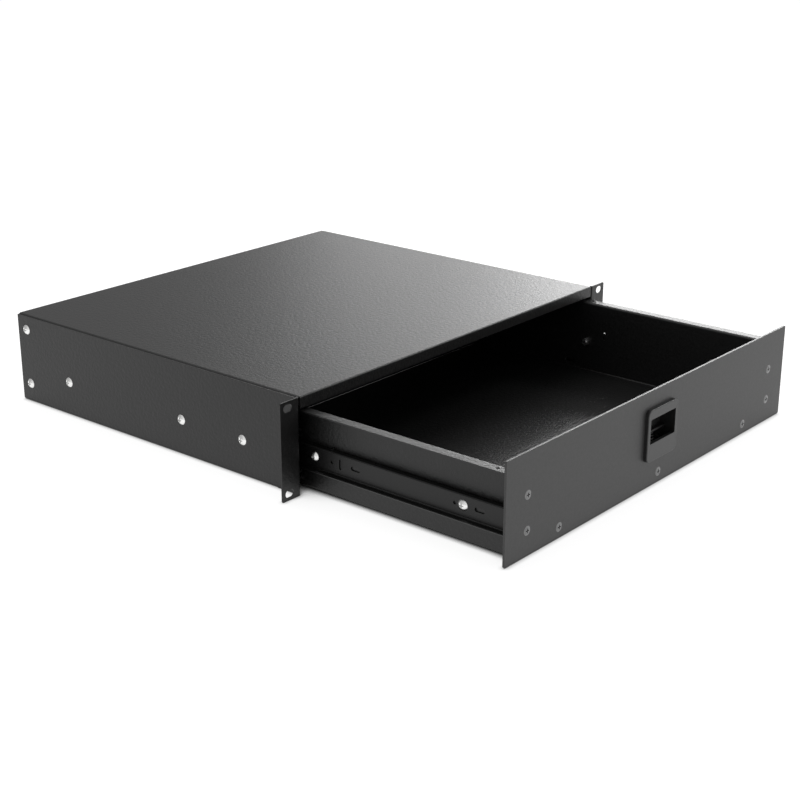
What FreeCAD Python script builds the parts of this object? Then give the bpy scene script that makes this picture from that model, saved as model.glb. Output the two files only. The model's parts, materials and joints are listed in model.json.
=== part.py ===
import FreeCAD, Part
import math
import os

V = FreeCAD.Vector

# Two-unit sliding drawer for a 19 inch rack.
# X runs to the right, Y to the back and Z up. The origin is the centre of the four
# ear slots, on the rear face of the ears, which is the face that meets the rack rails.
# The drawer is drawn pulled out by drawer_opening, with its slides part extended.

# ---- rack standard ----
rack_units = 2
rack_unit = 44.45
height_relief = 0.4
ear_span = 482.6
ear_slot_spacing_x = 465.1
ear_slot_inset = 6.35
ear_slot_length = 10.0
ear_slot_width = 7.0

# ---- case ----
sheet = 1.2
bend_radius = 1.0
case_width = 440.0
case_depth = 376.0
cover_bend_radius = 1.6
cover_lip_bend_radius = 0.4
cover_flange = 8.0
cover_lip = 10.4
cover_lip_gap = 1.4
seam_drop = 1.0
ear_corner = 1.5
foot_flange = 10.0
foot_flange_setback = 26.0
rear_flange = 18.0
rear_panel_lift = 0.5
rear_screw_inset = 12.5
rear_screw_heights = (18.8, 74.0)

# ---- ball slides ----
slide_height = 45.5
slide_thickness = 12.7
slide_sheet = 1.2
slide_setback = 8.0
slide_rear_gap = 5.0
slide_rise = 33.4
slide_bend = 1.0
ball_diameter = 4.2
ball_fit = 0.05
ball_depth = 7.6
middle_web_gap = 1.8
middle_shortfall = 5.0
shoulder_radius = 0.6
curl_angle = 20.0
shoulder_angle = 35.0
cage_sheet = 0.5
cage_length = 90.0
cage_strap = 8.0
cage_gap = 0.35
cage_lip = 0.6
cage_balls = 5
slide_screw_places = (60.2, 137.7)
slide_rear_screw_inset = 50.0
inner_setback = 3.0
inner_screw_places = (50.6, 209.0)
inner_rear_screw_inset = 27.0
inner_hole_places = (58.6, 189.2)
inner_hole_radius = 1.5
inner_slot_places = (33.8, 162.8)
inner_slot_length = 10.0
inner_slot_width = 3.6
inner_upright_slot_place = 179.8
inner_upright_slot_length = 9.4
inner_upright_slot_width = 2.4
bumper_length = 4.2
bumper_height = 30.0
bumper_depth = 8.6

# ---- drawer ----
drawer_opening = 214.4
drawer_rear_room = 26.0
drawer_floor_gap = 2.2
drawer_wall_height = 73.3
drawer_flange = 9.6
flange_hole_inset = 14.8
flange_hole_radius = 1.7
front_tab_width = 18.0
front_tab_bottom = 16.0
front_tab_top = 60.0
front_upstand = 14.0
upstand_end_gap = 3.0
wall_slot_place = 187.8
wall_slot_rise = 43.0
wall_slot_length = 8.5
wall_slot_width = 2.2
low_slot_place = 228.1
low_slot_rise = 9.5
low_slot_length = 12.0
low_slot_width = 4.0
rear_wall_flange = 14.0
rivet_heights = (14.0, 64.0)
rivet_inset = 7.0
rivet_shank_radius = 1.6
rivet_head_radius = 2.6
rivet_head_height = 0.7
rivet_crown_radius = 1.3
panel_width = 445.2
panel_height = 87.9
panel_thickness = 2.0
panel_lift = 0.7
panel_corner = 1.0
panel_side_screw_x = 194.0
panel_side_screw_heights = (22.4, 52.5)
panel_low_screw_pitch = 150.0
panel_low_screw_height = 10.1

# ---- screws and nuts ----
screw_radius = 2.0
screw_fit = 0.05
truss_head_radius = 4.8
truss_head_height = 2.2
flat_head_radius = 4.1
flat_head_height = 1.9
flat_head_crown = 0.6
recess_width = 0.8
recess_span = 4.0
recess_depth = 0.9
recess_pit_radius = 1.1
recess_pit_depth = 2.0
nut_across_flats = 7.0
nut_height = 3.0
clinch_nut_radius = 3.4
clinch_nut_height = 3.0
screw_tail = 0.6

# ---- latch ----
latch_size = 47.4
latch_x = -2.1
latch_rise = 49.1
latch_corner = 5.0
latch_proud = 3.6
latch_rim_round = 0.8
latch_window_width = 40.0
latch_window_height = 22.3
latch_window_top = 8.4
latch_window_corner = 0.8
latch_body_inset = 2.0
latch_body_lower_inset = 2.6
latch_wall = 1.7
latch_body_depth = 18.0
latch_cutout_gap = 0.2
latch_barb_height = 14.0
latch_barb_proud = 1.1
latch_barb_length = 6.0
bolt_fit = 0.25
bolt_travel = 7.0
bolt_plate = 6.5
bolt_height = 24.0
bolt_ledge = 3.0
bolt_ledge_reach = 4.5
tongue_width = 20.0
tongue_release_gap = 1.0
tongue_gap = 0.4
tongue_tip = 2.0
tongue_root = 1.0
closed_gap = 0.3
spring_radius = 2.2
spring_wire = 0.4
spring_turns = 5
spring_wire_sides = 6
spring_end_gap = 0.1
spring_spacing = 22.0
latch_screw_radius = 1.1
latch_screw_head_radius = 2.1
latch_screw_head_height = 0.9
latch_screw_length = 6.0
latch_boss = 6.0
latch_boss_wall = 1.0

# ---- how far a cutter runs past the face it cuts, and what counts as one point or one level ----
overcut = 1.0
same_point = 1e-6
same_level = 0.01

# ---- levels and planes that follow from the sizes above ----
case_height = rack_units * rack_unit - height_relief
ear_slot_spacing_z = rack_units * rack_unit - 2 * ear_slot_inset
bottom = -case_height / 2
top = case_height / 2
front = -sheet
rear = front + case_depth
half_case = case_width / 2
inner_face = half_case - sheet
slide_z = bottom + slide_rise
slide_length = case_depth - slide_setback - rear_flange - slide_rear_gap
drawer_depth = case_depth - drawer_rear_room
slide_front = front + slide_setback
wall_face = inner_face - slide_thickness
panel_back = front - drawer_opening
tray_rear = panel_back + drawer_depth
tray_bottom = bottom + drawer_floor_gap
tray_top = tray_bottom + drawer_wall_height
panel_front = panel_back - panel_thickness
lip_bottom = top - cover_lip
middle_length = slide_length - middle_shortfall
inner_length = slide_length - inner_setback
inner_front = panel_back + inner_setback
ball_radius = ball_diameter / 2
race_radius = ball_radius + ball_fit + slide_sheet / 2
outer_ball_height = slide_height / 2 - slide_sheet / 2 - race_radius
inner_ball_height = outer_ball_height - 2 * race_radius

X_AXIS = V(1, 0, 0)
Y_AXIS = V(0, 1, 0)
Z_AXIS = V(0, 0, 1)
SIDES = (("left", -1), ("right", 1))


# ---- sheet metal ----
def strip_side(points, radii, offset):
    """Line and arc runs along one face of a folded strip, as lists of 2-D points."""
    runs = []
    here = points[0]
    for i in range(1, len(points)):
        step = math.dist(points[i - 1], points[i])
        ahead = ((points[i][0] - points[i - 1][0]) / step, (points[i][1] - points[i - 1][1]) / step)
        shift = (-ahead[1] * offset, ahead[0] * offset)
        last = i == len(points) - 1
        if last:
            if math.dist(here, points[i]) > same_point:
                runs.append([plus(here, shift), plus(points[i], shift)])
            break
        reach = math.dist(points[i], points[i + 1])
        after = ((points[i + 1][0] - points[i][0]) / reach, (points[i + 1][1] - points[i][1]) / reach)
        turn = math.acos(max(-1, min(1, ahead[0] * after[0] + ahead[1] * after[1])))
        cut = radii[i - 1] * math.tan(turn / 2)
        arc_start = (points[i][0] - ahead[0] * cut, points[i][1] - ahead[1] * cut)
        arc_end = (points[i][0] + after[0] * cut, points[i][1] + after[1] * cut)
        half = math.hypot(ahead[0] + after[0], ahead[1] + after[1])
        middle = ((ahead[0] + after[0]) / half, (ahead[1] + after[1]) / half)
        bow = radii[i - 1] * (1 / math.cos(turn / 2) - 1)
        inward = (after[0] - ahead[0], after[1] - ahead[1])
        size = math.hypot(*inward)
        arc_middle = (points[i][0] + inward[0] / size * bow, points[i][1] + inward[1] / size * bow)
        if math.dist(here, arc_start) > same_point:
            runs.append([plus(here, shift), plus(arc_start, shift)])
        runs.append([
            plus(arc_start, shift),
            plus(arc_middle, (-middle[1] * offset, middle[0] * offset)),
            plus(arc_end, (-after[1] * offset, after[0] * offset)),
        ])
        here = arc_end
    return runs


def plus(a, b):
    return (a[0] + b[0], a[1] + b[1])


def folded(points, radii, thickness, place, sweep):
    """A strip of constant thickness folded along points, its centre line, and extruded by sweep."""
    one = strip_side(points, radii, thickness / 2)
    two = strip_side(points, radii, -thickness / 2)
    edges = [edge_of(run, place) for run in one]
    edges.append(edge_of([one[-1][-1], two[-1][-1]], place))
    edges.extend(edge_of(list(reversed(run)), place) for run in reversed(two))
    edges.append(edge_of([two[0][0], one[0][0]], place))
    return Part.Face(Part.Wire(edges)).extrude(sweep)


def edge_of(run, place):
    spots = [place(*p) for p in run]
    if len(spots) == 3:
        return Part.Arc(*spots).toShape()
    return Part.LineSegment(*spots).toShape()


def at_y(y):
    return lambda u, v: V(u, y, v)


def at_z(z):
    return lambda u, v: V(u, v, z)


def at_x(x):
    return lambda u, v: V(x, u, v)


# ---- shared solids ----
def block(x0, x1, y0, y1, z0, z1):
    """A box between two corners given in any order."""
    low = V(min(x0, x1), min(y0, y1), min(z0, z1))
    return Part.makeBox(abs(x1 - x0), abs(y1 - y0), abs(z1 - z0), low)


def drill(centre, axis, radius, length):
    """A cylinder centred on a point, used as a cutter."""
    return Part.makeCylinder(radius, length, centre - axis * (length / 2), axis)


def oblong(centre, along, through, length, width, depth):
    """A round-ended slot cutter centred on a point."""
    side = through.cross(along)
    start = centre - through * (depth / 2)
    straight = along * ((length - width) / 2)
    half = side * (width / 2)
    a, b = start - straight + half, start + straight + half
    c, d = start + straight - half, start - straight - half
    edges = [
        Part.LineSegment(a, b).toShape(),
        Part.Arc(b, start + along * (length / 2), c).toShape(),
        Part.LineSegment(c, d).toShape(),
        Part.Arc(d, start - along * (length / 2), a).toShape(),
    ]
    return Part.Face(Part.Wire(edges)).extrude(through * depth)


def rounded_block(x0, x1, y0, y1, z0, z1, radius):
    """A box with its four edges along Y rounded."""
    shape = block(x0, x1, y0, y1, z0, z1)
    edges = [e for e in shape.Edges if e.BoundBox.YLength > same_level]
    return shape.makeFillet(radius, edges)


def cross_recess(level):
    """The cross-shaped driver recess, cut down from a level on a screw drawn along Z."""
    reach = recess_span / 2
    half = recess_width / 2
    low, high = level - recess_depth, level + overcut
    pit = Part.makeCone(0, recess_pit_radius, recess_pit_depth, V(0, 0, level - recess_pit_depth))
    wings = [block(-reach, reach, -half, half, low, high), block(-half, half, -reach, reach, low, high)]
    return pit.fuse(wings)


def crown(radius, rise):
    """Half section of a domed screw head, from its rim on z = 0 to its top."""
    dome = (radius ** 2 + rise ** 2) / (2 * rise)
    half = math.asin(radius / dome) / 2
    bulge = (dome * math.sin(half), rise - dome + dome * math.cos(half))
    return [(radius, 0), bulge, (0, rise)]


def revolved(runs):
    """A solid turned about Z from the closed half section given as runs of points."""
    edges = [edge_of(run, lambda r, z: V(r, 0, z)) for run in runs]
    return Part.Face(Part.Wire(edges)).revolve(V(0, 0, 0), Z_AXIS, 360)


def placed(shape, point, direction):
    """A solid drawn along Z, moved so that its Z axis points in direction from point."""
    moved = shape.copy()
    moved.Placement = FreeCAD.Placement(point, FreeCAD.Rotation(Z_AXIS, direction))
    return moved


def truss_screw(length):
    """A low domed screw whose head sits on z = 0 and whose shank runs down to -length."""
    solid = revolved([
        [(0, -length), (screw_radius, -length)],
        [(screw_radius, -length), (screw_radius, 0)],
        [(screw_radius, 0), (truss_head_radius, 0)],
        crown(truss_head_radius, truss_head_height),
        [(0, truss_head_height), (0, -length)],
    ])
    return solid.cut(cross_recess(truss_head_height))


def flat_screw(length):
    """A raised countersunk screw whose rim lies at z = 0 and whose tip is at -length."""
    solid = revolved([
        [(0, -length), (screw_radius, -length)],
        [(screw_radius, -length), (screw_radius, -flat_head_height)],
        [(screw_radius, -flat_head_height), (flat_head_radius, 0)],
        crown(flat_head_radius, flat_head_crown),
        [(0, flat_head_crown), (0, -length)],
    ])
    return solid.cut(cross_recess(flat_head_crown))


def flat_screw_seat(point, direction, depth):
    """The countersunk hole that a flat screw sits in, through a plate of the given depth."""
    hole = screw_radius + screw_fit
    rim = flat_head_radius + screw_fit
    seat = Part.makeCone(hole, rim, flat_head_height, V(0, 0, -flat_head_height))
    bore = Part.makeCylinder(hole, depth, V(0, 0, -depth))
    return placed(seat.fuse(bore), point, direction)


def hex_nut():
    """A nut on z = 0 to nut_height, with a plain bore."""
    corner = nut_across_flats / 2 / math.cos(math.pi / 6)
    spots = [V(corner * math.cos(k * math.pi / 3), corner * math.sin(k * math.pi / 3), 0) for k in range(7)]
    body = Part.Face(Part.makePolygon(spots)).extrude(V(0, 0, nut_height))
    return body.cut(Part.makeCylinder(screw_radius + screw_fit, nut_height))


def clinch_nut():
    """A round nut pressed on to sheet, on z = 0 to clinch_nut_height."""
    body = Part.makeCylinder(clinch_nut_radius, clinch_nut_height)
    return body.cut(Part.makeCylinder(screw_radius + screw_fit, clinch_nut_height))


# ---- places shared by several pieces ----
def slide_screw_points(side):
    places = [*slide_screw_places, slide_length - slide_rear_screw_inset]
    return [V(side * half_case, slide_front + place, slide_z) for place in places]


def rear_screw_points(side):
    return [V(side * half_case, rear - rear_screw_inset, bottom + h) for h in rear_screw_heights]


def inner_screw_points(side):
    places = [*inner_screw_places, inner_setback + inner_length - inner_rear_screw_inset]
    return [V(side * wall_face, panel_back + place, slide_z) for place in places]


def panel_screw_points():
    sides = [
        V(side * panel_side_screw_x, panel_front, bottom + h)
        for _, side in SIDES
        for h in panel_side_screw_heights
    ]
    low = [V(k * panel_low_screw_pitch, panel_front, bottom + panel_low_screw_height) for k in (-1, 0, 1)]
    return sides + low


def rivet_points(side):
    return [V(side * wall_face, tray_rear - rivet_inset, bottom + h) for h in rivet_heights]


# ---- case ----
def side_panel(side):
    """Case side and rack ear in one folded sheet, with a foot flange along its lower edge."""
    fold = bend_radius + sheet / 2
    mid = side * (half_case - sheet / 2)
    path = [(side * ear_span / 2, front + sheet / 2), (mid, front + sheet / 2), (mid, rear)]
    panel = folded(path, [fold], sheet, at_z(bottom), Z_AXIS * case_height)
    for level in (-1, 1):
        panel = panel.cut(ear_corner_waste(side, level))
    foot_front = front + foot_flange_setback
    corner = bend_radius + sheet
    panel = panel.cut(block(side * (inner_face - overcut), side * (half_case + overcut), front + corner,
                            rear + overcut, top - seam_drop, top + overcut))
    panel = panel.cut(block(side * (half_case - foot_flange), side * (half_case + overcut), foot_front, rear,
                            bottom - overcut, bottom + corner))
    foot = [(mid, bottom + corner), (mid, bottom + sheet / 2),
            (side * (half_case - foot_flange), bottom + sheet / 2)]
    panel = panel.fuse(folded(foot, [fold], sheet, at_y(foot_front), Y_AXIS * (rear - foot_front)))
    for level in (-1, 1):
        spot = V(side * ear_slot_spacing_x / 2, front + sheet / 2, level * ear_slot_spacing_z / 2)
        panel = panel.cut(oblong(spot, X_AXIS, Y_AXIS, ear_slot_length, ear_slot_width, sheet * 3))
    for spot in slide_screw_points(side) + rear_screw_points(side):
        panel = panel.cut(drill(spot, X_AXIS, screw_radius + screw_fit, sheet * 4))
    return panel.removeSplitter()


def ear_corner_waste(side, level):
    """What lies outside the rounded corner at the free end of an ear."""
    x, z = side * (ear_span / 2 - ear_corner), level * (top - ear_corner)
    square = block(x, side * (ear_span / 2 + overcut), front - overcut, overcut, z, level * (top + overcut))
    return square.cut(drill(V(x, 0, z), Y_AXIS, ear_corner, 4 * overcut + 2 * sheet))


def top_cover():
    """Cover with side flanges inside the case sides and a lip down across the front."""
    fold = cover_bend_radius + sheet / 2
    lip_fold = cover_lip_bend_radius + sheet / 2
    edge = inner_face - sheet / 2
    level = top - sheet / 2
    start = front + cover_lip_bend_radius + sheet
    path = [(-edge, top - cover_flange), (-edge, level), (edge, level), (edge, top - cover_flange)]
    cover = folded(path, [fold, fold], sheet, at_y(start), Y_AXIS * (rear - start))
    lip_half = inner_face - cover_lip_gap
    lip = [(start, level), (front + sheet / 2, level), (front + sheet / 2, lip_bottom)]
    cover = cover.fuse(folded(lip, [lip_fold], sheet, at_x(-lip_half), X_AXIS * (2 * lip_half)))
    return cover.removeSplitter()


def rear_panel():
    """Back of the case: flanges forward inside the case sides and under the cover."""
    fold = bend_radius + sheet / 2
    edge = inner_face - sheet / 2
    back = rear - sheet / 2
    low = bottom + sheet + bend_radius + rear_panel_lift
    shoulder = top - cover_flange - rear_panel_lift
    path = [(-edge, rear - rear_flange), (-edge, back), (edge, back), (edge, rear - rear_flange)]
    panel = folded(path, [fold, fold], sheet, at_z(low), Z_AXIS * (shoulder - low))
    upper_half = inner_face - sheet - bend_radius - sheet
    upper = [(rear - rear_flange, top - sheet * 1.5), (back, top - sheet * 1.5), (back, shoulder - fold)]
    panel = panel.fuse(folded(upper, [fold], sheet, at_x(-upper_half), X_AXIS * (2 * upper_half)))
    for _, side in SIDES:
        for spot in rear_screw_points(side):
            panel = panel.cut(drill(spot, X_AXIS, screw_radius + screw_fit, sheet * 6))
    return panel.removeSplitter()


def case_screws(points_of, tail):
    """Truss screws driven inward through the case sides."""
    screw = truss_screw(sheet * 2 + tail)
    return [placed(screw, spot, X_AXIS * side) for _, side in SIDES for spot in points_of(side)]


def rear_nuts():
    """Clinch nuts on the inner face of the rear panel's side flanges."""
    nut = clinch_nut()
    return [
        placed(nut, V(side * (inner_face - sheet), spot.y, spot.z), X_AXIS * -side)
        for _, side in SIDES
        for spot in rear_screw_points(side)
    ]


# ---- ball slides ----
# A slide section is drawn by its distance in from the case side and its height from the slide's centre line.
def polar(height, radius, degrees):
    angle = math.radians(degrees)
    return (ball_depth + radius * math.cos(angle), height + radius * math.sin(angle))


def outer_half():
    """Web against the case, leg over the outer balls, and a curl round their drawer side."""
    leg = outer_ball_height + race_radius
    curl = race_radius * math.tan(math.radians(90 - curl_angle) / 2)
    tip = polar(outer_ball_height, race_radius, curl_angle)
    points = [(slide_sheet / 2, leg), (ball_depth + curl, leg), tip]
    return points, [slide_bend + slide_sheet / 2, race_radius]


def middle_half():
    """Web, shoulder and groove under the outer balls, then a curl round the inner balls."""
    web = slide_sheet + middle_web_gap + slide_sheet / 2
    flange = outer_ball_height - race_radius
    foot = polar(outer_ball_height, race_radius, 270 - shoulder_angle)
    shoulder = (web, foot[1] + (foot[0] - web) * math.tan(math.radians(shoulder_angle)))
    groove = race_radius * math.tan(math.radians(shoulder_angle) / 2)
    curl = race_radius * math.tan(math.radians(90 - curl_angle) / 2)
    points = [
        shoulder,
        (ball_depth - groove, flange),
        (ball_depth + curl, flange),
        polar(inner_ball_height, race_radius, curl_angle),
    ]
    return points, [shoulder_radius + slide_sheet / 2, race_radius, race_radius]


def inner_half():
    """Web against the drawer wall, leg under the inner balls, and a short curl up at its end."""
    leg = inner_ball_height - race_radius
    groove = race_radius * math.tan(math.radians(shoulder_angle) / 2)
    points = [
        (slide_thickness - slide_sheet / 2, leg),
        (ball_depth - groove, leg),
        polar(inner_ball_height, race_radius, 270 - shoulder_angle),
    ]
    return points, [slide_bend + slide_sheet / 2, race_radius]


def slide_member(half, side, start, length):
    """Mirrors a half section about the slide's centre line and extrudes it along the travel."""
    points, radii = half
    lower = [(d, -h) for d, h in reversed(points)]
    path = [(side * (inner_face - d), slide_z + h) for d, h in lower + points]
    return folded(path, list(reversed(radii)) + radii, slide_sheet, at_y(start), Y_AXIS * length)


def outer_member(side):
    member = slide_member(outer_half(), side, slide_front, slide_length)
    for spot in slide_screw_points(side):
        member = member.cut(drill(spot, X_AXIS, screw_radius + screw_fit, sheet * 6))
    return member


def middle_member(side):
    return slide_member(middle_half(), side, slide_front, middle_length)


def inner_member(side):
    """Member screwed to the drawer wall, with its mounting slots and holes."""
    member = slide_member(inner_half(), side, inner_front, inner_length)
    web = side * (wall_face + slide_sheet / 2)
    depth = slide_sheet * 2
    for spot in inner_screw_points(side):
        member = member.cut(drill(spot, X_AXIS, screw_radius + screw_fit, sheet * 4))
    for place in inner_hole_places:
        member = member.cut(drill(V(web, panel_back + place, slide_z), X_AXIS, inner_hole_radius, depth))
    for place in inner_slot_places:
        spot = V(web, panel_back + place, slide_z)
        member = member.cut(oblong(spot, Y_AXIS, X_AXIS, inner_slot_length, inner_slot_width, depth))
    spot = V(web, panel_back + inner_upright_slot_place, slide_z)
    slot = oblong(spot, Z_AXIS, X_AXIS, inner_upright_slot_length, inner_upright_slot_width, depth)
    return member.cut(slot)


def ball_cage(side, web_depth, height, start):
    """A thin channel with a ball pocket row in each flange and a window in its web."""
    mid = web_depth + cage_sheet / 2
    tip = ball_depth + ball_radius + cage_lip
    path = [(tip, -height), (mid, -height), (mid, height), (tip, height)]
    path = [(side * (inner_face - d), slide_z + h) for d, h in path]
    fold = cage_sheet
    cage = folded(path, [fold, fold], cage_sheet, at_y(start), Y_AXIS * cage_length)
    web_face = inner_face - web_depth
    half_window = height - cage_strap / 2
    window = block(side * (web_face + overcut), side * (web_face - cage_sheet - overcut),
                   start + cage_strap, start + cage_length - cage_strap,
                   slide_z - half_window, slide_z + half_window)
    cage = cage.cut(window)
    for spot in ball_points(side, height, start):
        cage = cage.cut(drill(spot, Z_AXIS, ball_radius + ball_fit, cage_sheet * 3))
    return cage


def ball_points(side, height, start):
    pitch = cage_length / cage_balls
    return [
        V(side * (inner_face - ball_depth), start + pitch * (k + 0.5), slide_z + level * height)
        for level in (-1, 1)
        for k in range(cage_balls)
    ]


def balls(height, start):
    return [
        Part.makeSphere(ball_radius, spot)
        for _, side in SIDES
        for spot in ball_points(side, height, start)
    ]


def rear_bumpers():
    """Plastic stops in the rear ends of the outer members."""
    end = slide_front + slide_length
    return [
        block(side * (inner_face - slide_sheet), side * (inner_face - slide_sheet - bumper_depth),
              end - bumper_length, end, slide_z - bumper_height / 2, slide_z + bumper_height / 2)
        for _, side in SIDES
    ]


def inner_screws():
    """Screws whose heads lie in the inner member's channel, with their tips inside the drawer."""
    screw = truss_screw(slide_sheet + sheet + nut_height + screw_tail)
    return [
        placed(screw, V(side * (wall_face + slide_sheet), spot.y, spot.z), X_AXIS * side)
        for _, side in SIDES
        for spot in inner_screw_points(side)
    ]


def inner_nuts():
    nut = hex_nut()
    return [
        placed(nut, V(side * (wall_face - sheet), spot.y, spot.z), X_AXIS * -side)
        for _, side in SIDES
        for spot in inner_screw_points(side)
    ]


# ---- drawer ----
def drawer_tray():
    """Floor, walls and outward top flanges in one folded sheet, with tabs behind the front panel."""
    fold = bend_radius + sheet / 2
    corner = bend_radius + sheet
    wall = wall_face - sheet / 2
    level = tray_bottom + sheet / 2
    rim = tray_top - sheet / 2
    tip = wall_face + drawer_flange
    path = [(-tip, rim), (-wall, rim), (-wall, level), (wall, level), (wall, rim), (tip, rim)]
    tray = folded(path, [fold] * 4, sheet, at_y(panel_back), Y_AXIS * drawer_depth)

    tab_low, tab_high = bottom + front_tab_bottom, bottom + front_tab_top
    for _, side in SIDES:
        tray = tray.cut(block(side * (wall_face - sheet - overcut), side * (wall_face + overcut),
                              panel_back - overcut, panel_back + corner, tab_low, tab_high))
        tab = [(side * wall, panel_back + corner), (side * wall, panel_back + sheet / 2),
               (side * (wall_face - front_tab_width), panel_back + sheet / 2)]
        tray = tray.fuse(folded(tab, [fold], sheet, at_z(tab_low), Z_AXIS * (tab_high - tab_low)))

    half = wall_face - front_tab_width - upstand_end_gap
    tray = tray.cut(block(-half, half, panel_back - overcut, panel_back + corner,
                          tray_bottom - overcut, tray_bottom + sheet + overcut))
    upstand = [(panel_back + corner, level), (panel_back + sheet / 2, level),
               (panel_back + sheet / 2, tray_bottom + front_upstand)]
    tray = tray.fuse(folded(upstand, [fold], sheet, at_x(-half), X_AXIS * (2 * half)))

    for spot in panel_screw_points():
        tray = tray.cut(drill(spot, Y_AXIS, screw_radius + screw_fit, 4 * (panel_thickness + sheet)))
    for _, side in SIDES:
        for spot in inner_screw_points(side):
            tray = tray.cut(drill(spot, X_AXIS, screw_radius + screw_fit, sheet * 4))
        for spot in rivet_points(side):
            tray = tray.cut(drill(spot, X_AXIS, rivet_shank_radius + screw_fit, sheet * 4))
        slot = V(side * wall, panel_back + wall_slot_place, bottom + wall_slot_rise)
        tray = tray.cut(oblong(slot, Z_AXIS, X_AXIS, wall_slot_length, wall_slot_width, sheet * 2))
        slot = V(side * wall, panel_back + low_slot_place, bottom + low_slot_rise)
        tray = tray.cut(oblong(slot, Y_AXIS, X_AXIS, low_slot_length, low_slot_width, sheet * 2))
        for place in (panel_back + flange_hole_inset, tray_rear - flange_hole_inset):
            spot = V(side * (wall_face + drawer_flange / 2), place, rim)
            tray = tray.cut(drill(spot, Z_AXIS, flange_hole_radius, sheet * 2))
    return tray.removeSplitter()


def drawer_rear_wall():
    """Back of the drawer, a folded channel standing between the walls."""
    fold = bend_radius + sheet / 2
    edge = wall_face - sheet * 1.5
    back = tray_rear - sheet / 2
    ends = tray_rear - rear_wall_flange
    path = [(-edge, ends), (-edge, back), (edge, back), (edge, ends)]
    low = tray_bottom + sheet + bend_radius
    wall = folded(path, [fold, fold], sheet, at_z(low), Z_AXIS * (tray_top - low))
    for _, side in SIDES:
        for spot in rivet_points(side):
            wall = wall.cut(drill(spot, X_AXIS, rivet_shank_radius + screw_fit, sheet * 6))
    return wall


def rivets():
    """Rivets with a low head on each side of the wall and flange that they join."""
    grip = sheet * 2
    solid = revolved([
        [(0, rivet_head_height), (rivet_crown_radius, rivet_head_height)],
        [(rivet_crown_radius, rivet_head_height), (rivet_head_radius, 0)],
        [(rivet_head_radius, 0), (rivet_shank_radius, 0)],
        [(rivet_shank_radius, 0), (rivet_shank_radius, -grip)],
        [(rivet_shank_radius, -grip), (rivet_head_radius, -grip)],
        [(rivet_head_radius, -grip), (rivet_crown_radius, -grip - rivet_head_height)],
        [(rivet_crown_radius, -grip - rivet_head_height), (0, -grip - rivet_head_height)],
        [(0, -grip - rivet_head_height), (0, rivet_head_height)],
    ])
    return [placed(solid, spot, X_AXIS * side) for _, side in SIDES for spot in rivet_points(side)]


def front_panel():
    """Flat front plate with the latch cut-out and countersunk screw holes."""
    low = bottom + panel_lift
    high = low + panel_height
    half = panel_width / 2
    panel = rounded_block(-half, half, panel_front, panel_back, low, high, panel_corner)
    half_hole = body_half + latch_cutout_gap
    panel = panel.cut(block(latch_x - half_hole, latch_x + half_hole,
                            panel_front - overcut, panel_back + overcut,
                            body_low - latch_cutout_gap, body_high + latch_cutout_gap))
    for spot in panel_screw_points():
        panel = panel.cut(flat_screw_seat(spot, -Y_AXIS, panel_thickness))
    return panel


def panel_screws():
    screw = flat_screw(panel_thickness + sheet + clinch_nut_height + screw_tail)
    return [placed(screw, spot, -Y_AXIS) for spot in panel_screw_points()]


def panel_nuts():
    """Clinch nuts on the tray's tabs and upstand, behind the front panel."""
    nut = clinch_nut()
    return [placed(nut, V(spot.x, panel_back + sheet, spot.z), Y_AXIS) for spot in panel_screw_points()]


# ---- latch ----
# Its pieces are drawn about x = 0, and latch_x then sets them to their place across the panel.
latch_z = bottom + latch_rise
latch_low = latch_z - latch_size / 2
latch_high = latch_z + latch_size / 2
bezel_front = panel_front - latch_proud
body_back = panel_front + latch_body_depth
window_top = latch_high - latch_window_top
window_bottom = window_top - latch_window_height
tongue_front = panel_back + closed_gap + sheet + tongue_gap
tongue_top = lip_bottom + bolt_travel - tongue_release_gap
body_half = latch_size / 2 - latch_body_inset
body_low = latch_low + latch_body_lower_inset
body_high = latch_high - latch_body_lower_inset
cavity_half = body_half - latch_wall
cavity_low = body_low + latch_wall
cavity_high = body_high - latch_wall
bolt_high = cavity_high - bolt_fit
bolt_low = bolt_high - bolt_height
bolt_back = body_back - bolt_fit
plate_front = bolt_back - bolt_plate


def latch_housing():
    """Square bezel with a finger window, on a box body that guides the bolt."""
    half = latch_size / 2
    bezel = rounded_block(-half, half, bezel_front, panel_front, latch_low, latch_high, latch_corner)
    rim = [e for e in bezel.Edges if e.BoundBox.YMax < bezel_front + same_level]
    bezel = bezel.makeFillet(latch_rim_round, rim)
    housing = bezel.fuse(block(-body_half, body_half, panel_front, body_back, body_low, body_high))
    housing = housing.cut(block(-cavity_half, cavity_half, panel_front, body_back + overcut,
                                cavity_low, cavity_high))
    half_window = latch_window_width / 2
    window = rounded_block(-half_window, half_window, bezel_front - overcut, panel_front + overcut,
                           window_bottom, window_top, latch_window_corner)
    housing = housing.cut(window)
    half_tongue = tongue_width / 2 + bolt_fit
    housing = housing.cut(block(-half_tongue, half_tongue, tongue_front - bolt_fit, body_back + overcut,
                                cavity_high - overcut, body_high + overcut))
    for _, side in SIDES:
        housing = housing.fuse(latch_barb(side))
        for x, z in latch_screw_places(side):
            boss_front = body_back - latch_screw_length - latch_boss_wall
            boss = block(side * cavity_half, x - side * latch_boss / 2, boss_front, body_back,
                         z - latch_boss / 2, z + latch_boss / 2)
            bore = drill(V(x, body_back, z), Y_AXIS, latch_screw_radius + screw_fit, latch_screw_length * 2)
            housing = housing.fuse(boss).cut(bore)
    return housing.removeSplitter()


def latch_screw_places(side):
    """X and Z of the back plate's screws on one side, in the lower corner of the cavity."""
    return [(side * (cavity_half - latch_boss / 2), cavity_low + latch_boss / 2)]


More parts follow.
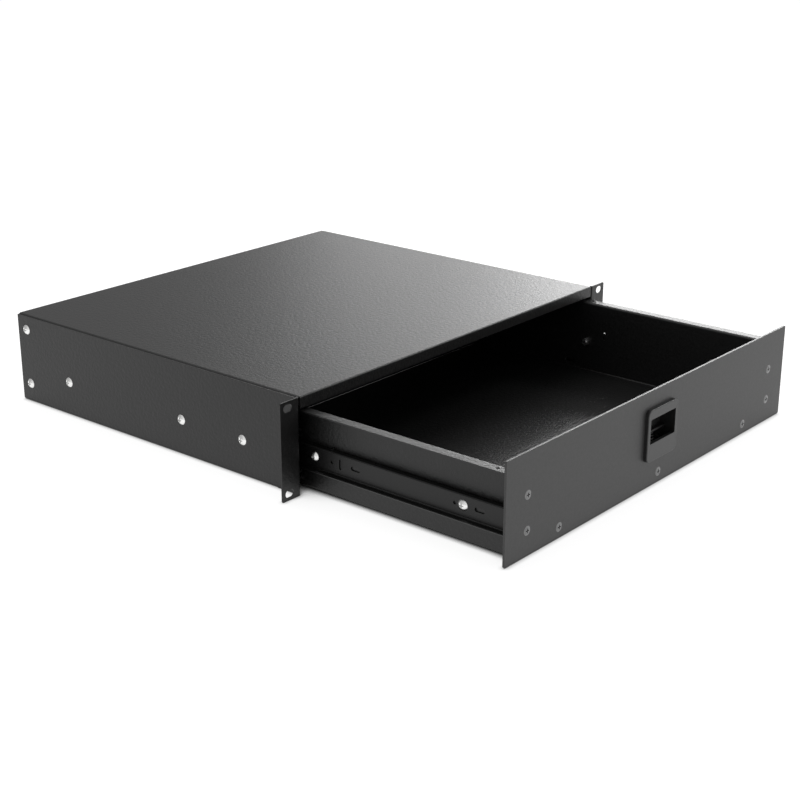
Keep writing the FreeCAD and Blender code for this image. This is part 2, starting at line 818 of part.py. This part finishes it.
def latch_barb(side):
    """Wedge that snaps behind the front panel at the edge of its cut-out."""
    catch = side * (body_half + latch_cutout_gap + latch_barb_proud)
    near = panel_back + latch_cutout_gap
    root = V(side * body_half, near, 0)
    spots = [root, V(catch, near, 0), V(side * body_half, near + latch_barb_length, 0), root]
    wedge = Part.Face(Part.makePolygon(spots)).extrude(Z_AXIS * latch_barb_height)
    wedge.translate(V(0, 0, latch_z - latch_barb_height / 2))
    return wedge


def latch_bolt():
    """Sliding plate with a finger ledge in the window and a ramped tongue out of the top."""
    half = cavity_half - bolt_fit
    bolt = block(-half, half, plate_front, bolt_back, bolt_low, bolt_high)
    ramp_foot = bolt_high - tongue_root
    outline = [
        (tongue_front, ramp_foot),
        (tongue_front, tongue_top),
        (tongue_front + tongue_tip, tongue_top),
        (bolt_back, body_high),
        (bolt_back, ramp_foot),
        (tongue_front, ramp_foot),
    ]
    spots = [V(-tongue_width / 2, y, z) for y, z in outline]
    tongue = Part.Face(Part.makePolygon(spots)).extrude(X_AXIS * tongue_width)
    neck = block(-tongue_width / 2, tongue_width / 2, tongue_front, bolt_back,
                 ramp_foot - bolt_ledge, bolt_high)
    return bolt.fuse([rounded_ledge(half), tongue, neck]).removeSplitter()


def rounded_ledge(half):
    """Finger ledge along the foot of the bolt plate, with a round nose."""
    nose = plate_front - bolt_ledge_reach
    round_start = nose + bolt_ledge / 2
    high = bolt_low + bolt_ledge
    edges = [
        [(plate_front, bolt_low), (round_start, bolt_low)],
        [(round_start, bolt_low), (nose, bolt_low + bolt_ledge / 2), (round_start, high)],
        [(round_start, high), (plate_front, high)],
        [(plate_front, high), (plate_front, bolt_low)],
    ]
    face = Part.Face(Part.Wire([edge_of(run, at_x(-half)) for run in edges]))
    return face.extrude(X_AXIS * (2 * half))


def latch_springs():
    """Two compression springs from the floor of the latch cavity to the foot of the bolt."""
    free = bolt_low - cavity_low - 2 * (spring_wire + spring_end_gap)
    y = bolt_back - bolt_plate / 2
    found = []
    for _, side in SIDES:
        helix = Part.makeHelix(free / spring_turns, free, spring_radius)
        coil = Part.Wire(helix).makePipeShell([wire_section()], True, True)
        coil.translate(V(side * spring_spacing / 2, y, cavity_low + spring_wire + spring_end_gap))
        found.append(coil)
    return found


def wire_section():
    """Many-sided section of the spring wire, standing at the start of its helix."""
    turns = [2 * math.pi * k / spring_wire_sides for k in range(spring_wire_sides + 1)]
    spots = [V(spring_radius + spring_wire * math.cos(a), 0, spring_wire * math.sin(a)) for a in turns]
    return Part.makePolygon(spots)


def latch_back_plate():
    """Steel plate across the back of the latch, holding the bolt and springs in."""
    plate = block(-body_half, body_half, body_back, body_back + sheet, body_low, body_high)
    for _, side in SIDES:
        for x, z in latch_screw_places(side):
            plate = plate.cut(drill(V(x, body_back, z), Y_AXIS, latch_screw_radius + screw_fit, sheet * 4))
    return plate


def latch_screws():
    head = Part.makeCylinder(latch_screw_head_radius, latch_screw_head_height)
    reach = latch_screw_length + sheet
    shank = Part.makeCylinder(latch_screw_radius, reach, V(0, 0, -reach))
    screw = head.fuse(shank)
    return [
        placed(screw, V(x, body_back + sheet, z), Y_AXIS)
        for _, side in SIDES
        for x, z in latch_screw_places(side)
    ]


def at_latch(solids):
    """Latch pieces moved from the centre line to the latch's place across the panel."""
    for solid in solids:
        solid.translate(V(latch_x, 0, 0))
    return solids


# ---- every node ----
outer_cage_depth = slide_sheet + cage_gap
inner_cage_depth = 2 * slide_sheet + middle_web_gap + cage_gap
middle_travel = slide_length - drawer_opening + inner_setback
outer_cage_start = slide_front + middle_travel / 2 + cage_strap
inner_cage_start = slide_front + cage_strap

nodes = {
    "top_cover": [top_cover()],
    "rear_panel": [rear_panel()],
    "rear_panel_screws": case_screws(rear_screw_points, clinch_nut_height),
    "rear_panel_nuts": rear_nuts(),
    "slide_outer_screws": case_screws(slide_screw_points, 0),
    "slide_rear_bumpers": rear_bumpers(),
    "outer_cage_balls": balls(outer_ball_height, outer_cage_start),
    "inner_cage_balls": balls(inner_ball_height, inner_cage_start),
    "slide_inner_screws": inner_screws(),
    "slide_inner_nuts": inner_nuts(),
    "drawer_tray": [drawer_tray()],
    "drawer_rear_wall": [drawer_rear_wall()],
    "drawer_rear_rivets": rivets(),
    "drawer_front_panel": [front_panel()],
    "front_panel_screws": panel_screws(),
    "front_panel_nuts": panel_nuts(),
    "latch_housing": at_latch([latch_housing()]),
    "latch_bolt": at_latch([latch_bolt()]),
    "latch_springs": at_latch(latch_springs()),
    "latch_back_plate": at_latch([latch_back_plate()]),
    "latch_screws": at_latch(latch_screws()),
}
for name, side in SIDES:
    nodes[name + "_side_panel"] = [side_panel(side)]
    nodes[name + "_slide_outer"] = [outer_member(side)]
    nodes[name + "_slide_middle"] = [middle_member(side)]
    nodes[name + "_slide_inner"] = [inner_member(side)]
    outer_cage = ball_cage(side, outer_cage_depth, outer_ball_height, outer_cage_start)
    inner_cage = ball_cage(side, inner_cage_depth, inner_ball_height, inner_cage_start)
    nodes[name + "_outer_ball_cage"] = [outer_cage]
    nodes[name + "_inner_ball_cage"] = [inner_cage]

os.makedirs("parts", exist_ok=True)
for name, solids in nodes.items():
    shape = solids[0] if len(solids) == 1 else Part.makeCompound(solids)
    shape.exportStep("parts/" + name + ".step")
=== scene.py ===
import json
import math

import bpy
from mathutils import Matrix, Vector


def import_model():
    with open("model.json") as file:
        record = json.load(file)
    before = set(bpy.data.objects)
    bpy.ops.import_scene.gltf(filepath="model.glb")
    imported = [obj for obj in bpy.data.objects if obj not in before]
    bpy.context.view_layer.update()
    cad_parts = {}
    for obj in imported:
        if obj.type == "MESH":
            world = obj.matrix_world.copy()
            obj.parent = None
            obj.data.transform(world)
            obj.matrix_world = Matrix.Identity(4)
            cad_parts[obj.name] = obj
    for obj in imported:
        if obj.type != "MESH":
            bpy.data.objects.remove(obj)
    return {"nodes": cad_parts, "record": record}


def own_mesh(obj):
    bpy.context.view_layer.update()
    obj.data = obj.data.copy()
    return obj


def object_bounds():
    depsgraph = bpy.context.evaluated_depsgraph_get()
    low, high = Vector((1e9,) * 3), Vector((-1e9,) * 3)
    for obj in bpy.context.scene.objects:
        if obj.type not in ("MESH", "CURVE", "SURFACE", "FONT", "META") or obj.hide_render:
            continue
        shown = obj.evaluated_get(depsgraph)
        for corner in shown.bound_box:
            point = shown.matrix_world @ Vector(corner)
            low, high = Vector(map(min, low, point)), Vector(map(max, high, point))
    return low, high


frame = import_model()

MM = 0.001
CAD_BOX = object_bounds()
CENTRE = (Vector(CAD_BOX[0]) + Vector(CAD_BOX[1])) / 2

# ---- camera: degrees, millimetres of lens and sensor, metres ----
AZIMUTH = -50.0
ELEVATION = 20.0
LENS = 70.35
SENSOR = 36.0
DISTANCE = 1.45
AIM_OFFSET = Vector((-0.0547, -0.0497, -0.0107))

# ---- rounded edges ----
EDGE_ROUND = 0.12 * MM
EDGE_SEGMENTS = 2
WELD_REACH = 0.001 * MM
SHARP_ANGLE = math.radians(32)
NORMAL_WEIGHT = 100

# ---- floor: the colour that lights the object, and what the camera and the gloss see: white with a painted shadow ----
FLOOR_REACH = 8.0
FLOOR_COLOUR = (0.8, 0.8, 0.8, 1)
FLOOR_SEEN_COLOUR = (0.35, 0.35, 0.35, 1)
FLOOR_GLOW = 0.85
# painted contact shadow: how far ambient occlusion reaches when it darkens the floor's glow near
# the object and under it
CONTACT_REACH = 5 * MM
CONTACT_SAMPLES = 8
COVERED_REACH = 200 * MM
COVERED_SAMPLES = 16
# painted shadow under the object: share of open sky over the floor at which its glow starts, and
# at which it is full
GLOW_START, GLOW_FULL = 0.1, 0.35

# ---- world: brightness of the walls in the gloss, by the Y of a ray, and of the plain light ----
WHITE = (1, 1, 1, 1)
WALL_FRONT, WALL_FRONT_Y = 0.75, -0.2
WALL_BACK, WALL_BACK_Y = 0.45, 0.5
WORLD_LIGHT = 0.45

# ---- lamps ----
# name: azimuth from +Y towards +X, elevation (degrees), distance, width, height (m), power (W)
LAMPS = {
    "back_right": (75, 18, 2.2, 1.2, 0.9, 24.5),
    "back_fill": (53.5, 18, 2.2, 0.7, 0.9, 4.3),
    "overhead": (-20, 75, 2.0, 1.5, 1.5, 10),
    "edge_light": (115, 36, 2.0, 0.4, 0.4, 6),
}

# ---- texture: the range a noise value mostly keeps to, its detail, and the relief's sizes ----
NOISE_LOW, NOISE_HIGH = 0.3, 0.7
NOISE_ROUGHNESS = 0.55
FINE_DETAIL = 2.0
SLOW_DETAIL = 3.0
COAT_GRAIN = 0.7 * MM
COAT_GRAIN_DEPTH = 0.03 * MM
COAT_WAVES = 0.06 * MM
COAT_STRENGTH = 0.5
COAT_IOR = 1.5
PEEL_PER_GRAIN = 4.5
METAL_SCRATCH = 0.4 * MM
METAL_DEPTH = 0.02 * MM
METAL_STRENGTH = 0.12
CLOUD_PER_SCRATCH = 8
# samples of the painted shade that darkens hollows in metal
RECESS_SHADE_SAMPLES = 8
PLASTIC_GRAIN = 0.35 * MM
PLASTIC_CLOUD = 6 * MM
PLASTIC_DEPTH = 0.02 * MM
PLASTIC_STRENGTH = 0.35
PLAIN_SHINE = 0.5


# ---- shader helpers ----
def new_material(name):
    """A material holding only a Principled shader; returns it, its tree and the shader."""
    mat = bpy.data.materials.new(name)
    mat.use_nodes = True
    tree = mat.node_tree
    return mat, tree, tree.nodes["Principled BSDF"]


def add(tree, kind, **inputs):
    """Adds a node and sets its named inputs; an input that is a socket is linked."""
    node = tree.nodes.new(kind)
    for key, value in inputs.items():
        fill(tree, node.inputs[key.replace("_", " ")], value)
    return node


def fill(tree, socket, value):
    """Links a socket to another one, or sets it to a constant."""
    if isinstance(value, bpy.types.NodeSocket):
        tree.links.new(value, socket)
    else:
        socket.default_value = value


def math_node(tree, operation, first, second):
    """The result of a two-input Math node."""
    node = tree.nodes.new("ShaderNodeMath")
    node.operation = operation
    for socket, value in zip(node.inputs, (first, second)):
        fill(tree, socket, value)
    return node.outputs[0]


def noise(tree, size, detail):
    """Three-dimensional noise whose features are about size metres across."""
    coords = tree.nodes.new("ShaderNodeTexCoord")
    return add(tree, "ShaderNodeTexNoise", Vector=coords.outputs["Object"], Scale=1 / size,
               Detail=detail, Roughness=NOISE_ROUGHNESS).outputs["Fac"]


def spread(tree, value, low, high, start=NOISE_LOW, end=NOISE_HIGH):
    """Maps a value that runs from start to end, a noise by default, onto low to high."""
    return add(tree, "ShaderNodeMapRange", Value=value, From_Min=start, From_Max=end,
               To_Min=low, To_Max=high).outputs["Result"]


def tint(tree, value, dark, light):
    """A colour between dark and light, by a noise value."""
    ramp = tree.nodes.new("ShaderNodeValToRGB")
    ramp.color_ramp.elements[0].position = NOISE_LOW
    ramp.color_ramp.elements[1].position = NOISE_HIGH
    ramp.color_ramp.elements[0].color = (*dark, 1)
    ramp.color_ramp.elements[1].color = (*light, 1)
    tree.links.new(value, ramp.inputs["Fac"])
    return ramp.outputs["Color"]


def bump(tree, height, depth, strength, normal=None):
    """A surface normal tilted by a height, on top of another normal where one is given."""
    node = add(tree, "ShaderNodeBump", Height=height, Distance=depth, Strength=strength)
    if normal is not None:
        tree.links.new(normal, node.inputs["Normal"])
    return node.outputs["Normal"]


# ---- finishes ----
def coat(name, dark, light, rough_low, rough_high, grain=COAT_GRAIN, waves=COAT_WAVES,
         strength=COAT_STRENGTH, shine=PLAIN_SHINE):
    """Powder coat: fine grain over a slow orange peel; the grain breaks up its gloss."""
    mat, tree, shader = new_material(name)
    fine = noise(tree, grain, FINE_DETAIL)
    peel = noise(tree, grain * PEEL_PER_GRAIN, SLOW_DETAIL)
    tree.links.new(tint(tree, peel, dark, light), shader.inputs["Base Color"])
    tree.links.new(spread(tree, fine, rough_low, rough_high), shader.inputs["Roughness"])
    rolling = bump(tree, peel, waves, strength)
    grained = bump(tree, fine, COAT_GRAIN_DEPTH, strength, rolling)
    tree.links.new(grained, shader.inputs["Normal"])
    shader.inputs["IOR"].default_value = COAT_IOR
    shader.inputs["Specular IOR Level"].default_value = shine
    return mat


def metal(name, dark, light, rough_low, rough_high, recess=0.0):
    """Plated or bare metal, faintly cloudy and grained; hollows within reach recess get painted
    shade.
    """
    mat, tree, shader = new_material(name)
    cloud = noise(tree, METAL_SCRATCH * CLOUD_PER_SCRATCH, SLOW_DETAIL)
    fine = noise(tree, METAL_SCRATCH, FINE_DETAIL)
    shader.inputs["Metallic"].default_value = 1.0
    colour = tint(tree, cloud, dark, light)
    if recess:
        # painted shade: ambient occlusion darkens the base colour in hollows within reach recess,
        # such as the screw heads' cross recesses
        painted_recess_shade = add(tree, "ShaderNodeAmbientOcclusion", Color=colour, Distance=recess)
        painted_recess_shade.samples = RECESS_SHADE_SAMPLES
        colour = painted_recess_shade.outputs["Color"]
    tree.links.new(colour, shader.inputs["Base Color"])
    tree.links.new(spread(tree, fine, rough_low, rough_high), shader.inputs["Roughness"])
    tree.links.new(bump(tree, fine, METAL_DEPTH, METAL_STRENGTH), shader.inputs["Normal"])
    return mat


def plastic(name, dark, light, rough_low, rough_high, shine=PLAIN_SHINE):
    """Moulded plastic with a fine spark-eroded grain."""
    mat, tree, shader = new_material(name)
    fine = noise(tree, PLASTIC_GRAIN, FINE_DETAIL)
    cloud = noise(tree, PLASTIC_CLOUD, FINE_DETAIL)
    tree.links.new(tint(tree, cloud, dark, light), shader.inputs["Base Color"])
    tree.links.new(spread(tree, fine, rough_low, rough_high), shader.inputs["Roughness"])
    tree.links.new(bump(tree, fine, PLASTIC_DEPTH, PLASTIC_STRENGTH), shader.inputs["Normal"])
    shader.inputs["Specular IOR Level"].default_value = shine
    return mat


def grey(level):
    """A neutral colour."""
    return (level, level, level)


# slot: maker, darkest and lightest colour, lowest and highest roughness, what differs from the
# maker's defaults
FINISHES = {
    "black_powder_coat": (coat, grey(0.003), grey(0.006), 0.4, 0.46,
                          {"waves": 0.33 * MM, "strength": 0.9}),
    "black_panel_coat": (coat, grey(0.036), grey(0.046), 0.42, 0.5, {}),
    "black_slide_steel": (coat, grey(0.003), grey(0.005), 0.34, 0.42,
                          {"grain": 0.5 * MM, "strength": 0.25, "shine": 0.38}),
    "zinc_steel": (metal, (0.55, 0.55, 0.56), (0.7, 0.7, 0.7), 0.28, 0.4, {}),
    # recess: reach of the painted shade in the screw heads' hollows
    "nickel_screw": (metal, (0.84, 0.84, 0.83), (0.92, 0.92, 0.91), 0.2, 0.32,
                     {"recess": 1.0 * MM}),
    "black_screw": (metal, (0.15, 0.15, 0.152), (0.2, 0.2, 0.2), 0.2, 0.28,
                    {"recess": 0.9 * MM}),
    "ball_steel": (metal, (0.7, 0.7, 0.71), (0.78, 0.78, 0.78), 0.06, 0.12, {}),
    # painted shade: spring_steel is darker than bare drawn wire so that the springs stand in for
    # the shade inside the latch window
    "spring_steel": (metal, (0.24, 0.24, 0.245), (0.32, 0.32, 0.32), 0.28, 0.38, {}),
    "black_plastic": (plastic, grey(0.004), grey(0.007), 0.36, 0.44, {"shine": 0.72}),
    "stop_plastic": (plastic, grey(0.012), grey(0.018), 0.4, 0.5, {}),
}


# ---- the carried-over pieces ----
def dress_nodes():
    """Gives every node its slot's finish, rounded edges and smooth curves."""
    finishes = {slot: maker(slot, *values, **differs)
                for slot, (maker, *values, differs) in FINISHES.items()}
    slots = {row["node"]: row["material_slot"] for row in frame["record"]["subparts"]}
    for name, piece in frame["nodes"].items():
        for holder in piece.material_slots:
            holder.material = finishes[slots[name]]
        weld = piece.modifiers.new("weld", "WELD")
        weld.merge_threshold = WELD_REACH
        edge = piece.modifiers.new("edges", "BEVEL")
        edge.width = EDGE_ROUND
        edge.segments = EDGE_SEGMENTS
        edge.limit_method = "ANGLE"
        edge.angle_limit = SHARP_ANGLE
        even = piece.modifiers.new("even_normals", "WEIGHTED_NORMAL")
        even.mode = "FACE_AREA"
        even.weight = NORMAL_WEIGHT
        even.keep_sharp = True
        for face in piece.data.polygons:
            face.use_smooth = True


def shorten_springs():
    """Gives the latch springs a mesh of their own."""
    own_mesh(frame["nodes"]["latch_springs"])


# ---- stage ----
def seen_directly(tree):
    """1 for a ray from the camera or from a mirror or glass, 0 for a ray that gathers light."""
    path = tree.nodes.new("ShaderNodeLightPath")
    found = path.outputs["Is Camera Ray"]
    for name in ("Is Glossy Ray", "Is Transmission Ray"):
        found = math_node(tree, "MAXIMUM", found, path.outputs[name])
    return found


def floor_material():
    """Pale floor that shows as white, with a painted shadow where the object stands on it or
    covers it.
    """
    mat = bpy.data.materials.new("floor")
    mat.use_nodes = True
    tree = mat.node_tree
    tree.nodes.clear()
    # painted shadow: ambient occlusion near the object and under it darkens the floor's white
    # glow
    contact = add(tree, "ShaderNodeAmbientOcclusion", Distance=CONTACT_REACH)
    contact.samples = CONTACT_SAMPLES
    cover = add(tree, "ShaderNodeAmbientOcclusion", Distance=COVERED_REACH)
    cover.samples = COVERED_SAMPLES
    uncovered = spread(tree, cover.outputs["AO"], 0.0, FLOOR_GLOW, GLOW_START, GLOW_FULL)
    glow = math_node(tree, "MULTIPLY", contact.outputs["AO"], uncovered)
    white = add(tree, "ShaderNodeEmission", Color=WHITE, Strength=glow)
    matt = add(tree, "ShaderNodeBsdfDiffuse", Color=FLOOR_COLOUR)
    shaded = add(tree, "ShaderNodeBsdfDiffuse", Color=FLOOR_SEEN_COLOUR)
    both = tree.nodes.new("ShaderNodeAddShader")
    tree.links.new(shaded.outputs[0], both.inputs[0])
    tree.links.new(white.outputs[0], both.inputs[1])
    mix = add(tree, "ShaderNodeMixShader", Fac=seen_directly(tree))
    tree.links.new(matt.outputs[0], mix.inputs[1])
    tree.links.new(both.outputs[0], mix.inputs[2])
    out = tree.nodes.new("ShaderNodeOutputMaterial")
    tree.links.new(mix.outputs[0], out.inputs["Surface"])
    return mat


def floor():
    """A plain square floor under the object's lowest point."""
    low = CAD_BOX[0][2]
    reach = FLOOR_REACH
    corners = [(-reach, -reach, low), (reach, -reach, low), (reach, reach, low),
               (-reach, reach, low)]
    mesh = bpy.data.meshes.new("floor")
    mesh.from_pydata(corners, [], [(0, 1, 2, 3)])
    plane = bpy.data.objects.new("floor", mesh)
    bpy.context.scene.collection.objects.link(plane)
    plane.data.materials.append(floor_material())


def world():
    """White behind the object, walls in its gloss that are dim at the back, a soft light."""
    scene_world = bpy.data.worlds.new("world")
    bpy.context.scene.world = scene_world
    scene_world.use_nodes = True
    tree = scene_world.node_tree
    back = tree.nodes["Background"]
    coords = tree.nodes.new("ShaderNodeTexCoord")
    split = add(tree, "ShaderNodeSeparateXYZ", Vector=coords.outputs["Generated"])
    walls = spread(tree, split.outputs["Y"], WALL_FRONT, WALL_BACK, WALL_FRONT_Y, WALL_BACK_Y)
    path = tree.nodes.new("ShaderNodeLightPath")
    # a camera ray sees full white, a glossy or transmitted one sees the walls
    bright = math_node(tree, "MAXIMUM", walls, path.outputs["Is Camera Ray"])
    seen = seen_directly(tree)
    gathering = math_node(tree, "SUBTRACT", 1.0, seen)
    shown = math_node(tree, "MULTIPLY", seen, bright)
    lit = math_node(tree, "MULTIPLY", gathering, WORLD_LIGHT)
    tree.links.new(math_node(tree, "ADD", shown, lit), back.inputs["Strength"])
    back.inputs["Color"].default_value = WHITE


def direction(azimuth, elevation):
    """The unit vector at an azimuth measured from +Y towards +X and an elevation, in degrees."""
    a, e = math.radians(azimuth), math.radians(elevation)
    return Vector((math.sin(a) * math.cos(e), math.cos(a) * math.cos(e), math.sin(e)))


def soft_box(name, azimuth, elevation, distance, width, height, power):
    """A rectangular area lamp aimed at the object's centre, which the camera doesn't see."""
    away = direction(azimuth, elevation)
    lamp = bpy.data.lights.new(name, "AREA")
    lamp.shape = "RECTANGLE"
    lamp.size = width
    lamp.size_y = height
    lamp.energy = power
    holder = bpy.data.objects.new(name, lamp)
    holder.location = CENTRE + away * distance
    holder.rotation_euler = (-away).to_track_quat("-Z", "Y").to_euler()
    holder.visible_camera = False
    bpy.context.scene.collection.objects.link(holder)


def camera():
    """The photo's camera: in front of the object, to its left, looking down."""
    view = bpy.data.cameras.new("camera")
    view.lens = LENS
    view.sensor_width = SENSOR
    holder = bpy.data.objects.new("camera", view)
    holder.location = CENTRE + AIM_OFFSET - direction(-AZIMUTH, -ELEVATION) * DISTANCE
    holder.rotation_euler = (math.radians(90 - ELEVATION), 0, math.radians(AZIMUTH))
    bpy.context.scene.collection.objects.link(holder)
    bpy.context.scene.camera = holder


dress_nodes()
shorten_springs()
floor()
world()
for name, values in LAMPS.items():
    soft_box(name, *values)
camera()
bpy.context.scene.view_settings.view_transform = "Standard"
